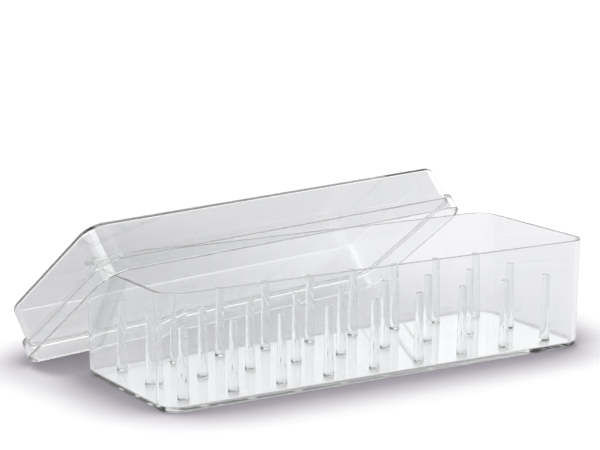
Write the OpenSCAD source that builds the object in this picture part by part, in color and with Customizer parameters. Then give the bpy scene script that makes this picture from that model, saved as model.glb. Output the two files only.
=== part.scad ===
// Pegged storage box in clear polystyrene, in millimetres: a shallow tray with a grid of
// upright pegs on its floor, and a loose lid that leans back off the tray.
// The origin is the middle of the tray's underside. X runs along the length to the right,
// Y to the back and Z up.

/* [Tray] */
// Length over the rim
tray_length = 213.6; // [190:0.2:240]
// Width over the rim
tray_width = 77.4; // [70:0.2:90]
// Height of the rim above the table
tray_height = 49; // [44:0.5:52]
// Thickness of the side and end walls
tray_wall = 1.8; // [1.2:0.1:2.4]
// Thickness of the floor
floor_thickness = 2; // [1.6:0.1:3.2]
// Radius of the upright corners at the rim
corner_radius = 10; // [5:0.5:12]
// Radius round the lower outer edge
foot_radius = 1.2; // [0.5:0.1:2.4]
// Draft that lets the mouldings leave their moulds, in degrees
draft = 1; // [0.5:0.1:2]

/* [Pegs] */
// Pegs along the length
peg_columns = 9; // [2:1:9]
// Pegs across the width
peg_rows = 3; // [1:1:3]
// Distance between pegs along the length
column_pitch = 23; // [18:0.5:23]
// Distance between pegs across the width
row_pitch = 26; // [18:0.5:28]
// Height of a peg above the floor
peg_height = 30.5; // [20:0.5:36]
// Diameter of a peg just above its foot
peg_base_diameter = 4.4; // [3:0.1:6]
// Diameter of a peg at its flat top
peg_top_diameter = 3.2; // [2:0.1:4]
// Diameter of the low collar round a peg's foot
collar_diameter = 4.8; // [4:0.1:8]
// Height of the collar
collar_height = 0.8; // [0.4:0.1:2]

/* [Lid] */
// Whole depth from the rim to the top
lid_depth = 24.9; // [16:0.1:30]
// Depth of the wide skirt that fits round the tray's rim
skirt_depth = 8.2; // [5:0.2:12]
// Wall and top thickness
lid_wall = 1.8; // [1.2:0.1:2.4]
// Gap between the skirt and the tray's rim on each side
skirt_clearance = 0.4; // [0.2:0.1:0.8]
// Radius round the top edge
crown_radius = 2.6; // [1:0.1:4]

/* [Lid at rest] */
// How far the lid's mouth slopes down towards the back, in degrees
lid_lean = 39.2; // [39.2:0.1:42]
// How far the lid is turned about the upright axis, in degrees
lid_turn = 12.2; // [10:0.1:13]
// Middle of the lid's mouth along the length
lid_place_x = -12; // [-13:0.1:-12]
// Middle of the lid's mouth across the width
lid_place_y = 52.8; // [51:0.1:55]

/* [Hidden] */
corner_fn = 48;
step_edge = 0.8;
inner_edge = 0.8;
ceiling_edge = 0.8;
cut_over = 1;
crystal = [0.86, 0.88, 0.90, 0.45];

tray_half = [tray_length / 2, tray_width / 2];
skirt_half = [for (half = tray_half) half + skirt_clearance + lid_wall];
skirt_corner = corner_radius + skirt_clearance + lid_wall;
// The lower edge of the lid's mouth lies on the table
lid_place_z = skirt_half[1] * sin(lid_lean);

row_letters = "abc";
function peg_name(column, row) = str("peg_", row_letters[row], column + 1);

// Points round a lower edge of radius edge on a post of radius r
function lower_edge(r, edge) =
    [for (turn = [0 : 15 : 90]) [r - edge + edge * sin(turn), edge - edge * cos(turn)]];

// A block on its narrow face, with round upright corners and a rounded lower edge.
// half and corner are measured at its wide upper end, and the draft narrows it below.
module moulded_block(half, corner, height, edge) {
    taper = height * tan(draft);
    hull()
        for (x = [-1, 1], y = [-1, 1])
            translate([x * (half[0] - corner), y * (half[1] - corner), 0])
                rotate_extrude($fn = corner_fn)
                    polygon(concat(
                        [[0, 0]],
                        lower_edge(corner - taper, edge),
                        [[corner, height], [0, height]]
                    ));
}

// The same block turned over, with its wide end at z = 0 and its rounded edge on top
module moulded_cap(half, corner, height, edge) {
    translate([0, 0, height]) mirror([0, 0, 1]) moulded_block(half, corner, height, edge);
}

module tray() {
    over = cut_over * tan(draft);
    color(crystal)
        difference() {
            moulded_block(tray_half, corner_radius, tray_height, foot_radius);
            translate([0, 0, floor_thickness])
                moulded_block(
                    [for (half = tray_half) half - tray_wall + over],
                    corner_radius - tray_wall + over,
                    tray_height - floor_thickness + cut_over,
                    inner_edge
                );
        }
}

module peg(column, row) {
    x = (column - (peg_columns - 1) / 2) * column_pitch;
    y = (row - (peg_rows - 1) / 2) * row_pitch;
    color(crystal)
        translate([x, y, floor_thickness]) {
            cylinder(h = collar_height, d = collar_diameter, $fn = 48);
            cylinder(h = peg_height, d1 = peg_base_diameter, d2 = peg_top_diameter, $fn = 48);
        }
}

// The lid in its own frame: its mouth is at z = 0 and its top is up
module lid_moulding() {
    over = cut_over * tan(draft);
    difference() {
        union() {
            moulded_cap(skirt_half, skirt_corner, skirt_depth, step_edge);
            moulded_cap(tray_half, corner_radius, lid_depth, crown_radius);
        }
        translate([0, 0, -cut_over])
            moulded_cap(
                [for (half = skirt_half) half - lid_wall + over],
                skirt_corner - lid_wall + over,
                skirt_depth - lid_wall + cut_over,
                inner_edge
            );
        moulded_cap(
            [for (half = tray_half) half - lid_wall],
            corner_radius - lid_wall,
            lid_depth - lid_wall,
            ceiling_edge
        );
    }
}

module lid() {
    color(crystal)
        translate([lid_place_x, lid_place_y, lid_place_z])
            rotate([-lid_lean, 0, lid_turn])
                lid_moulding();
}

tray();
lid();
for (row = [0 : peg_rows - 1], column = [0 : peg_columns - 1])
    peg(column, row);
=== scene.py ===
import math

import bmesh
import bpy
from mathutils import Matrix, Vector


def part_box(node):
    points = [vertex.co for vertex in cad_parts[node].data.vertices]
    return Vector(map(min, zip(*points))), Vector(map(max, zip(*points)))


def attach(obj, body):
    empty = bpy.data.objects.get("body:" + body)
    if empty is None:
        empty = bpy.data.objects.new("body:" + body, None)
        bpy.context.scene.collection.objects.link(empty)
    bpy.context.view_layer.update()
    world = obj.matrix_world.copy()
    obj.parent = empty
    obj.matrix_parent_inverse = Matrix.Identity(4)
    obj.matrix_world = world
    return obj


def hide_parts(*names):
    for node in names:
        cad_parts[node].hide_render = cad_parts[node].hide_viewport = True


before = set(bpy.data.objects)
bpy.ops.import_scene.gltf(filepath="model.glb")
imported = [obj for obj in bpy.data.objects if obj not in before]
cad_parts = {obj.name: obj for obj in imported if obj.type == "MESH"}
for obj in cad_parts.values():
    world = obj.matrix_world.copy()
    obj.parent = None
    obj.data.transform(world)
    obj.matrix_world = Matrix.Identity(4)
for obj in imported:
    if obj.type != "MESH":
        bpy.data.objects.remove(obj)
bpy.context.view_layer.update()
MM = 0.001

# ---------------------------------------------------------------- Studio
# The box stands on a broad white table that glows a little, as an acrylic table lit from below
# does; the glow is painted into the table's material as emission, and so is shade next to the
# box.
# Low panels ring the table, a large soft light hangs over it, and a softbox stands to the front
# left. The rest of the room is dim, which gives the clear plastic its grey edges.

scene = bpy.context.scene
scene.view_settings.view_transform = "Standard"
scene.view_settings.look = "None"
# Light runs a long way inside thin clear walls before it leaves by an edge
most_bounces = 160
scene.cycles.max_bounces = most_bounces
scene.cycles.transmission_bounces = most_bounces
scene.cycles.glossy_bounces = most_bounces
scene.cycles.diffuse_bounces = 4
scene.cycles.sample_clamp_indirect = 12.0


def linear(hex_colour):
    """An sRGB hex colour as the linear RGBA that a shader socket takes."""
    parts = [int(hex_colour[i : i + 2], 16) / 255 for i in (1, 3, 5)]
    return [c / 12.92 if c <= 0.04045 else ((c + 0.055) / 1.055) ** 2.4 for c in parts] + [1]


def add(tree, kind, inputs=None, **settings):
    """Adds a node: its settings, then its inputs, each a value or another node's output."""
    made = tree.nodes.new(kind)
    for name, value in settings.items():
        setattr(made, name, value)
    for name, value in (inputs or {}).items():
        if isinstance(value, bpy.types.NodeSocket):
            tree.links.new(value, made.inputs[name])
        else:
            made.inputs[name].default_value = value
    return made


def new_tree(name):
    """A material with an empty node tree."""
    material = bpy.data.materials.new(name)
    material.use_nodes = True
    material.node_tree.nodes.clear()
    return material, material.node_tree


# The camera looks down at the box from its front left corner through a long lens.
camera_turn = math.radians(-31.715)
camera_height = math.radians(11.289)
camera_roll = math.radians(0.193)
camera_distance = 881.4 * MM
camera_target = Vector((0.4, 34.4, 53.7)) * MM

towards_camera = Vector(
    (
        math.sin(camera_turn) * math.cos(camera_height),
        -math.cos(camera_turn) * math.cos(camera_height),
        math.sin(camera_height),
    )
)
camera = bpy.data.objects.new("camera", bpy.data.cameras.new("camera"))
camera.data.sensor_width = 36
camera.data.lens = 118.2
camera.data.clip_start = 0.05
camera.data.clip_end = 50
camera.location = camera_target + towards_camera * camera_distance
camera.rotation_mode = "QUATERNION"
aim = (-towards_camera).to_track_quat("-Z", "Y")
camera.rotation_quaternion = aim @ Matrix.Rotation(camera_roll, 3, "Z").to_quaternion()
scene.collection.objects.link(camera)
scene.camera = camera

# The table is white acrylic, lit a little from below. The eye sees it directly as pure white,
# with a
# painted shadow: ambient occlusion greys its colour with violet in the hollows next to the box.
# By way of the box its colour is painted a little greyer, a darker copy of the same white.
table_material, tree = new_tree("white acrylic")
fibres = add(
    tree,
    "ShaderNodeTexNoise",
    {"Vector": add(tree, "ShaderNodeTexCoord").outputs["Object"], "Scale": 900.0, "Detail": 2.0},
)
direct = add(tree, "ShaderNodeLightPath").outputs["Is Camera Ray"]
# The painted shade looks for hollows towards the back right, so that it falls to the front left
lightward = Vector((0.35, 0.45, 1.0)).normalized()
shade_reach = 40 * MM
shade = add(
    tree,
    "ShaderNodeAmbientOcclusion",
    {"Distance": shade_reach, "Normal": lightward},
    samples=16,
)
painted_contact_shade = add(
    tree,
    "ShaderNodeMapRange",
    {"Value": shade.outputs["AO"], "From Min": 0.58, "From Max": 0.97},
)
table_with_painted_shade = add(
    tree,
    "ShaderNodeMix",
    {"Factor": painted_contact_shade.outputs["Result"], "A": linear("#aaa4ae"), "B": linear("#fefdfe")},
    data_type="RGBA",
)
# Painted shade: a greyer copy of the table's white for rays that reach it by way of the box
board = add(
    tree,
    "ShaderNodeMix",
    {"Factor": direct, "A": linear("#b0afb1"), "B": table_with_painted_shade.outputs["Result"]},
    data_type="RGBA",
)
# Painted shadow of the box: seen through the box, the table's glow is dimmed behind the lid's
# left end
painted_shadow_centre = Vector((-60, 200, 0)) * MM
spot = add(tree, "ShaderNodeNewGeometry").outputs["Position"]
away = add(
    tree, "ShaderNodeVectorMath", {0: spot, 1: painted_shadow_centre}, operation="DISTANCE"
)
glow_with_painted_shadow = add(
    tree,
    "ShaderNodeMapRange",
    {
        "Value": away.outputs["Value"],
        "From Min": 40 * MM,
        "From Max": 215 * MM,
        "To Min": 0.45,
        "To Max": 1.1,
    },
    interpolation_type="SMOOTHSTEP",
)
# Painted glow: the table's emission, faint where the eye sees it directly
painted_table_glow = add(
    tree,
    "ShaderNodeMix",
    {"Factor": direct, "A": glow_with_painted_shadow.outputs["Result"], "B": 0.1},
    data_type="FLOAT",
)
grain = add(tree, "ShaderNodeBump", {"Height": fibres.outputs["Fac"], "Distance": 0.00002})
surface = add(
    tree,
    "ShaderNodeBsdfPrincipled",
    {
        "Base Color": board.outputs["Result"],
        "Roughness": 0.9,
        "Normal": grain.outputs["Normal"],
        "Emission Color": board.outputs["Result"],
        "Emission Strength": painted_table_glow.outputs["Result"],
    },
)
add(tree, "ShaderNodeOutputMaterial", {"Surface": surface.outputs["BSDF"]})

# The board is a hair below the box's feet, so that the two skins never share a plane
table_half = 6.0
table_top = -0.1 * MM
mesh = bpy.data.meshes.new("table")
corners = [
    (x * table_half, y * table_half, table_top)
    for x, y in ((-1, -1), (1, -1), (1, 1), (-1, 1))
]
mesh.from_pydata(corners, [], [(0, 1, 2, 3)])
mesh.materials.append(table_material)
table = bpy.data.objects.new("table", mesh)
scene.collection.objects.link(table)

# The room, as its brightness at each angle above the table, towards the back and the front
brightest = 4.0
room_levels = {
    "back": ((0, 1.0), (11, 1.0), (15, 1.6), (26, 1.6), (31, 0.9), (48, 0.9), (54, 0.35)),
    "front": ((0, 1.0), (11, 1.0), (15, 2.6), (26, 2.6), (31, 0.1), (48, 0.1), (54, 0.3)),
}
ceiling_levels = ((70, 0.35), (78, 2.3), (90, 2.3))
world = bpy.data.worlds.new("studio")
scene.world = world
world.use_nodes = True
tree = world.node_tree
tree.nodes.clear()
direction = add(tree, "ShaderNodeTexCoord").outputs["Generated"]
split = add(tree, "ShaderNodeSeparateXYZ", {"Vector": direction})
level = {}
for side, levels in room_levels.items():
    ramp = add(tree, "ShaderNodeValToRGB", {"Fac": split.outputs["Z"]})
    stops = ramp.color_ramp.elements
    for angle, strength in levels + ceiling_levels:
        height = math.sin(math.radians(angle))
        stop = stops[0] if angle == 0 else stops[-1] if angle == 90 else stops.new(height)
        stop.position = height
        stop.color = [strength / brightest] * 3 + [1]
    level[side] = ramp.outputs["Color"]
frontness = add(
    tree,
    "ShaderNodeMapRange",
    {"Value": split.outputs["Y"], "From Min": 0.9, "From Max": -0.9},
)
walls = add(
    tree,
    "ShaderNodeMix",
    {"Factor": frontness.outputs["Result"], "A": level["back"], "B": level["front"]},
    data_type="RGBA",
)


def softbox(behind, turn, height, half_width, half_height, strength):
    """Adds a soft-edged panel of light to the room; turn is from the back, clockwise."""
    turn, height = math.radians(turn), math.radians(height)
    facing = Vector((math.sin(turn), math.cos(turn), 0))
    across = Vector((math.cos(turn), -math.sin(turn), 0))
    along = facing * math.cos(height) + Vector((0, 0, math.sin(height)))
    inside = None
    for axis, half in ((across, half_width), (along.cross(across), half_height)):
        offset = add(
            tree, "ShaderNodeVectorMath", {0: direction, 1: axis}, operation="DOT_PRODUCT"
        )
        distance = add(
            tree, "ShaderNodeMath", {0: offset.outputs["Value"]}, operation="ABSOLUTE"
        )
        edge = math.sin(math.radians(half))
        within = add(
            tree,
            "ShaderNodeMapRange",
            {
                "Value": distance.outputs["Value"],
                "From Min": edge * 1.25,
                "From Max": edge * 0.75,
            },
            interpolation_type="SMOOTHSTEP",
        ).outputs["Result"]
        if inside is None:
            inside = within
        else:
            inside = add(
                tree, "ShaderNodeMath", {0: inside, 1: within}, operation="MULTIPLY"
            ).outputs["Value"]
    ahead = add(tree, "ShaderNodeVectorMath", {0: direction, 1: along}, operation="DOT_PRODUCT")
    facing_it = add(
        tree, "ShaderNodeMath", {0: ahead.outputs["Value"], 1: 0.0}, operation="GREATER_THAN"
    )
    amount = add(
        tree,
        "ShaderNodeMath",
        {0: inside, 1: facing_it.outputs["Value"]},
        operation="MULTIPLY",
    )
    panel = [strength / brightest] * 3 + [1]
    return add(
        tree,
        "ShaderNodeMix",
        {"Factor": amount.outputs["Value"], "A": behind, "B": panel},
        data_type="RGBA",
    ).outputs["Result"]


lit = softbox(walls.outputs["Result"], 230, 41, 26, 9, 3.2)
room = add(tree, "ShaderNodeBackground", {"Color": lit, "Strength": brightest})
add(tree, "ShaderNodeOutputWorld", {"Surface": room.outputs["Background"]})

# ------------------------------------------------- Clear polystyrene
# General-purpose crystal polystyrene, injection moulded in a polished tool: it is as clear as
# glass and bends light strongly. The skin has a slow ripple from shrinkage and faint flow
# marks along the length, and handling leaves fine scuffs.


def clear_polystyrene(name, scuffing):
    material, tree = new_tree(name)
    place = add(tree, "ShaderNodeTexCoord").outputs["Object"]
    # Shrinkage ripples run about 30 mm from crest to crest and are about 12 microns high
    ripple = add(
        tree, "ShaderNodeTexNoise", {"Vector": place, "Scale": 1 / (30 * MM), "Detail": 1.5}
    )
    # Flow marks are drawn out ten times along the length, about 4 mm apart
    stretched = add(tree, "ShaderNodeMapping", {"Vector": place, "Scale": (0.1, 1.0, 1.0)})
    flow = add(
        tree,
        "ShaderNodeTexNoise",
        {"Vector": stretched.outputs["Vector"], "Scale": 1 / (4 * MM), "Detail": 2.0},
    )
    scuffs = add(
        tree, "ShaderNodeTexNoise", {"Vector": place, "Scale": 1 / (1.5 * MM), "Detail": 4.0}
    )
    dull = add(
        tree,
        "ShaderNodeMapRange",
        {
            "Value": scuffs.outputs["Fac"],
            "From Min": 0.5,
            "From Max": 0.9,
            "To Min": 0.0,
            "To Max": scuffing,
        },
    )
    slow = add(
        tree, "ShaderNodeBump", {"Height": ripple.outputs["Fac"], "Distance": 12e-6}
    )
    skin = add(
        tree,
        "ShaderNodeBump",
        {"Height": flow.outputs["Fac"], "Distance": 0.6e-6, "Normal": slow.outputs["Normal"]},
    )
    body = add(
        tree,
        "ShaderNodeBsdfPrincipled",
        {
            "Base Color": linear("#fafbfb"),
            "Roughness": dull.outputs["Result"],
            "IOR": 1.59,
            "Transmission Weight": 1.0,
            "Normal": skin.outputs["Normal"],
        },
    )
    tint = add(
        tree, "ShaderNodeVolumeAbsorption", {"Color": linear("#dddddd"), "Density": 25.0}
    )
    add(
        tree,
        "ShaderNodeOutputMaterial",
        {"Surface": body.outputs["BSDF"], "Volume": tint.outputs["Volume"]},
    )
    return material


# ------------------------------------------------------------- Tray
# The lower half of the box, one moulding in clear polystyrene: a floor and four thin walls
# with draft, round upright corners and a rounded foot. Twenty-seven tapered pegs stand on the
# floor, moulded with it, each with a small flared foot and a flat top.


def outline(half_x, half_y, radius, z, steps=26):
    """A level rounded rectangle, anticlockwise from above."""
    points = []
    for corner, (sx, sy) in enumerate(((1, 1), (-1, 1), (-1, -1), (1, -1))):
        centre = Vector((sx * (half_x - radius), sy * (half_y - radius), z))
        for step in range(steps + 1):
            angle = math.radians(90 * (corner + step / steps))
            points.append(centre + radius * Vector((math.cos(angle), math.sin(angle), 0)))
    return points


def round_edge(first, last, bulge, steps=6):
    """Stations (inset, height) on a quarter round from first to last; bulge is its corner."""
    made = []
    for step in range(steps + 1):
        angle = math.radians(90 * step / steps)
        along, across = 1 - math.cos(angle), math.sin(angle)
        made.append(
            tuple(
                f + (b - f) * across + (e - b) * along for f, b, e in zip(first, bulge, last)
            )
        )
    return made


def shell(name, half, corner, stations):
    """A closed skin through stations (inset, height); half and corner are at no inset."""
    made = bmesh.new()
    rings = []
    for inset, z in stations:
        points = outline(half[0] - inset, half[1] - inset, corner - inset, z)
        rings.append([made.verts.new(p) for p in points])
    for lower, upper in zip(rings, rings[1:]):
        for i in range(len(lower)):
            j = (i + 1) % len(lower)
            made.faces.new((lower[i], lower[j], upper[j], upper[i]))
    made.faces.new(list(reversed(rings[0])))
    made.faces.new(rings[-1])
    bmesh.ops.recalc_face_normals(made, faces=made.faces)
    mesh = bpy.data.meshes.new(name)
    made.to_mesh(mesh)
    made.free()
    return mesh


def finish_skin(piece):
    """Smooth rounds between flats that stay truly flat."""
    piece.data.shade_smooth()
    piece.data.set_sharp_from_angle(angle=math.radians(50))
    flats = piece.modifiers.new("flats stay flat", "WEIGHTED_NORMAL")
    flats.mode = "FACE_AREA"
    flats.weight = 100
    flats.keep_sharp = True


tray_low, tray_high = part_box("tray")
tray_half = (tray_high[0], tray_high[1])
tray_height = tray_high[2]
peg_low, peg_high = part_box("peg_a1")
last_low, last_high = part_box("peg_c9")
floor_top = peg_low[2]
tray_wall = 1.8 * MM
tray_corner = 10 * MM
draft = math.tan(math.radians(1.0))
foot_round = 1.2 * MM
rim_round = 0.35 * MM
inside_round = 0.8 * MM


def drafted(z):
    """How far the outer wall stands in from the rim's size at height z."""
    return (tray_height - z) * draft


stations = []
stations += round_edge(
    (drafted(0) + foot_round, 0), (drafted(foot_round), foot_round), (drafted(0), 0)
)
stations += round_edge(
    (drafted(tray_height - rim_round), tray_height - rim_round),
    (rim_round, tray_height),
    (0, tray_height),
    steps=3,
)
stations += round_edge(
    (tray_wall - rim_round, tray_height),
    (tray_wall + drafted(tray_height - rim_round), tray_height - rim_round),
    (tray_wall, tray_height),
    steps=3,
)
inner_foot = tray_wall + drafted(floor_top)
stations += round_edge(
    (inner_foot - draft * inside_round, floor_top + inside_round),
    (inner_foot + inside_round, floor_top),
    (inner_foot, floor_top),
)
tray_mesh = shell("tray moulding", tray_half, tray_corner, stations)

tray_plastic = clear_polystyrene("clear polystyrene, polished mould", 0.05)

# The pegs' tree: a grid of points, a lathed peg on each, all fused with the tray's floor
tree = bpy.data.node_groups.new("pegs on the tray floor", "GeometryNodeTree")
sockets = {}
for name, kind in (
    ("Tray", "NodeSocketGeometry"),
    ("Columns", "NodeSocketInt"),
    ("Rows", "NodeSocketInt"),
    ("Grid length", "NodeSocketFloat"),
    ("Grid width", "NodeSocketFloat"),
    ("Floor height", "NodeSocketFloat"),
    ("Peg height", "NodeSocketFloat"),
    ("Base radius", "NodeSocketFloat"),
    ("Top radius", "NodeSocketFloat"),
    ("Foot radius", "NodeSocketFloat"),
    ("Tip round", "NodeSocketFloat"),
    ("Plastic", "NodeSocketMaterial"),
):
    made = tree.interface.new_socket(name, in_out="INPUT", socket_type=kind)
    sockets[name] = made.identifier
tree.interface.new_socket("Geometry", in_out="OUTPUT", socket_type="NodeSocketGeometry")
given = add(tree, "NodeGroupInput").outputs
grid = add(
    tree,
    "GeometryNodeMeshGrid",
    {
        "Size X": given["Grid length"],
        "Size Y": given["Grid width"],
        "Vertices X": given["Columns"],
        "Vertices Y": given["Rows"],
    },
)
lifted = add(tree, "ShaderNodeCombineXYZ", {"Z": given["Floor height"]})
places = add(
    tree,
    "GeometryNodeTransform",
    {"Geometry": grid.outputs["Mesh"], "Translation": lifted.outputs["Vector"]},
)
# The peg's axis, from a root sunk in the floor to its flat top
root_depth = 0.8 * MM
levels = 40
root = add(tree, "ShaderNodeCombineXYZ", {"Z": -root_depth})
top = add(tree, "ShaderNodeCombineXYZ", {"Z": given["Peg height"]})
axis = add(
    tree,
    "GeometryNodeCurvePrimitiveLine",
    {"Start": root.outputs["Vector"], "End": top.outputs["Vector"]},
)
stretch = add(
    tree, "GeometryNodeResampleCurve", {"Curve": axis.outputs["Curve"], "Count": levels}
)
# Its rings lie closer together towards both ends, where the collar and the round tip are
position = add(tree, "GeometryNodeInputPosition")
even = add(tree, "ShaderNodeSeparateXYZ", {"Vector": position.outputs["Position"]})
gathered = add(
    tree,
    "ShaderNodeMapRange",
    {
        "Value": even.outputs["Z"],
        "From Min": -root_depth,
        "From Max": given["Peg height"],
        "To Min": -root_depth,
        "To Max": given["Peg height"],
    },
    interpolation_type="SMOOTHSTEP",
)
spread = add(tree, "ShaderNodeCombineXYZ", {"Z": gathered.outputs["Result"]})
line = add(
    tree,
    "GeometryNodeSetPosition",
    {"Geometry": stretch.outputs["Curve"], "Position": spread.outputs["Vector"]},
)
level = add(tree, "ShaderNodeSeparateXYZ", {"Vector": position.outputs["Position"]})
shaft = add(
    tree,
    "ShaderNodeMapRange",
    {
        "Value": level.outputs["Z"],
        "From Min": 0.0,
        "From Max": given["Peg height"],
        "To Min": given["Base radius"],
        "To Max": given["Top radius"],
    },
)
collar_top = 0.5 * MM
collar_end = 0.9 * MM
flare = add(
    tree,
    "ShaderNodeMapRange",
    {
        "Value": level.outputs["Z"],
        "From Min": collar_top,
        "From Max": collar_end,
        "To Min": given["Foot radius"],
        "To Max": shaft.outputs["Result"],
    },
)
# The tip's edge is a quarter round: its inset is r - sqrt(r * r - up * up), up from its start
round_start = add(
    tree, "ShaderNodeMath", {0: given["Peg height"], 1: given["Tip round"]}, operation="SUBTRACT"
)
up = add(
    tree,
    "ShaderNodeMapRange",
    {
        "Value": level.outputs["Z"],
        "From Min": round_start.outputs["Value"],
        "From Max": given["Peg height"],
    },
)
squared = add(tree, "ShaderNodeMath", {0: up.outputs["Result"], 1: 2.0}, operation="POWER")
left = add(tree, "ShaderNodeMath", {0: 1.0, 1: squared.outputs["Value"]}, operation="SUBTRACT")
arc = add(tree, "ShaderNodeMath", {0: left.outputs["Value"]}, operation="SQRT")
inset = add(tree, "ShaderNodeMath", {0: 1.0, 1: arc.outputs["Value"]}, operation="SUBTRACT")
cut = add(
    tree,
    "ShaderNodeMath",
    {0: inset.outputs["Value"], 1: given["Tip round"]},
    operation="MULTIPLY",
)
outer = add(
    tree,
    "ShaderNodeMath",
    {0: flare.outputs["Result"], 1: cut.outputs["Value"]},
    operation="SUBTRACT",
)
profile = add(
    tree,
    "GeometryNodeSetCurveRadius",
    {"Curve": line.outputs["Geometry"], "Radius": outer.outputs["Value"]},
)
ring = add(tree, "GeometryNodeCurvePrimitiveCircle", {"Resolution": 36, "Radius": 1.0})
radius = add(tree, "GeometryNodeInputRadius")
peg = add(
    tree,
    "GeometryNodeCurveToMesh",
    {
        "Curve": profile.outputs["Curve"],
        "Profile Curve": ring.outputs["Curve"],
        "Scale": radius.outputs["Radius"],
        "Fill Caps": True,
    },
)
pegs = add(
    tree,
    "GeometryNodeInstanceOnPoints",
    {"Points": places.outputs["Geometry"], "Instance": peg.outputs["Mesh"]},
)
solid = add(tree, "GeometryNodeRealizeInstances", {"Geometry": pegs.outputs["Instances"]})
fused = add(tree, "GeometryNodeMeshBoolean", operation="UNION", solver="EXACT")
tree.links.new(given["Tray"], fused.inputs["Mesh 2"])
tree.links.new(solid.outputs["Geometry"], fused.inputs["Mesh 2"])
dressed = add(
    tree,
    "GeometryNodeSetMaterial",
    {"Geometry": fused.outputs["Mesh"], "Material": given["Plastic"]},
)
add(tree, "NodeGroupOutput", {"Geometry": dressed.outputs["Geometry"]})

blank = bpy.data.objects.new("tray blank", tray_mesh)
scene.collection.objects.link(blank)
moulding = blank.modifiers.new("pegs", "NODES")
moulding.node_group = tree
peg_centre = [(peg_low[i] + peg_high[i]) / 2 for i in range(2)]
last_centre = [(last_low[i] + last_high[i]) / 2 for i in range(2)]
for name, value in (
    ("Columns", 9),
    ("Rows", 3),
    ("Grid length", last_centre[0] - peg_centre[0]),
    ("Grid width", last_centre[1] - peg_centre[1]),
    ("Floor height", floor_top),
    ("Peg height", peg_high[2] - peg_low[2]),
    ("Base radius", 2.2 * MM),
    ("Top radius", 1.6 * MM),
    ("Foot radius", (peg_high[0] - peg_low[0]) / 2),
    ("Tip round", 0.35 * MM),
    ("Plastic", tray_plastic),
):
    moulding[sockets[name]] = value
bpy.context.view_layer.update()
evaluated = blank.evaluated_get(bpy.context.evaluated_depsgraph_get())
tray = bpy.data.objects.new(
    "tray_with_pegs", bpy.data.meshes.new_from_object(evaluated, depsgraph=None)
)
bpy.data.objects.remove(blank)
scene.collection.objects.link(tray)
finish_skin(tray)
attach(tray, "tray")
peg_nodes = [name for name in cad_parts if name.startswith("peg_")]
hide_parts("tray", *peg_nodes)

# -------------------------------------------------------------- Lid
# The upper half of the box, one moulding in clear polystyrene: a crown with a rounded top edge
# and, below a small step, a wider skirt that fits round the tray's rim. It has been taken off
# and leans on the tray with its lower long edge on the table.

lid_low, lid_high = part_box("lid")
lid_lean = math.radians(39.2)
lid_turn = math.radians(12.2)
lid_wall = 1.8 * MM
skirt_gap = 0.4 * MM
skirt_depth = 8.2 * MM
lid_depth = 24.9 * MM
crown_round = 2.6 * MM
ceiling_round = 0.8 * MM
step_round = 0.8 * MM
skirt_half = [half + skirt_gap + lid_wall for half in tray_half]
skirt_corner = tray_corner + skirt_gap + lid_wall
step = skirt_gap + lid_wall
lid_rim_round = 0.35 * MM
fillet = 0.3 * MM

stations = []
# Down the inside: the underside of the top, the crown's inner wall, the ledge and the skirt
ceiling = lid_depth - lid_wall
crown_inner = step + lid_wall
stations += round_edge(
    (crown_inner + draft * ceiling + ceiling_round, ceiling),
    (crown_inner + draft * (ceiling - ceiling_round), ceiling - ceiling_round),
    (crown_inner + draft * ceiling, ceiling),
)
ledge = skirt_depth - lid_wall
stations += round_edge(
    (crown_inner + draft * (ledge + fillet), ledge + fillet),
    (crown_inner - fillet, ledge),
    (crown_inner, ledge),
    steps=3,
)
stations += round_edge(
    (lid_wall + draft * ledge + inside_round, ledge),
    (lid_wall + draft * (ledge - inside_round), ledge - inside_round),
    (lid_wall + draft * ledge, ledge),
    steps=4,
)
stations += round_edge(
    (lid_wall + draft * lid_rim_round, lid_rim_round),
    (lid_wall - lid_rim_round, 0),
    (lid_wall, 0),
    steps=3,
)
# Up the outside: the rim, the skirt, its step and the crown
stations += round_edge(
    (lid_rim_round, 0), (draft * lid_rim_round, lid_rim_round), (0, 0), steps=3
)
stations += round_edge(
    (draft * (skirt_depth - step_round), skirt_depth - step_round),
    (draft * skirt_depth + step_round, skirt_depth),
    (draft * skirt_depth, skirt_depth),
    steps=4,
)
stations += round_edge(
    (step + draft * skirt_depth - fillet, skirt_depth),
    (step + draft * skirt_depth, skirt_depth + fillet),
    (step + draft * skirt_depth, skirt_depth),
    steps=3,
)
stations += round_edge(
    (step + draft * (lid_depth - crown_round), lid_depth - crown_round),
    (step + draft * lid_depth + crown_round, lid_depth),
    (step + draft * lid_depth, lid_depth),
)
lid_mesh = shell("lid moulding", skirt_half, skirt_corner, stations)
pose = Matrix.Rotation(lid_turn, 4, "Z") @ Matrix.Rotation(-lid_lean, 4, "X")
lid_mesh.transform(pose)
low = [min(v.co[i] for v in lid_mesh.vertices) for i in range(3)]
high = [max(v.co[i] for v in lid_mesh.vertices) for i in range(3)]
centre = Vector([(a + b) / 2 for a, b in zip(low, high)])
wanted = (Vector(lid_low) + Vector(lid_high)) / 2
lid_mesh.transform(Matrix.Translation(wanted - centre))
lid_mesh.materials.append(clear_polystyrene("clear polystyrene, polished and handled", 0.06))
lid = bpy.data.objects.new("lid_moulding", lid_mesh)
scene.collection.objects.link(lid)
finish_skin(lid)
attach(lid, "lid")
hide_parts("lid")
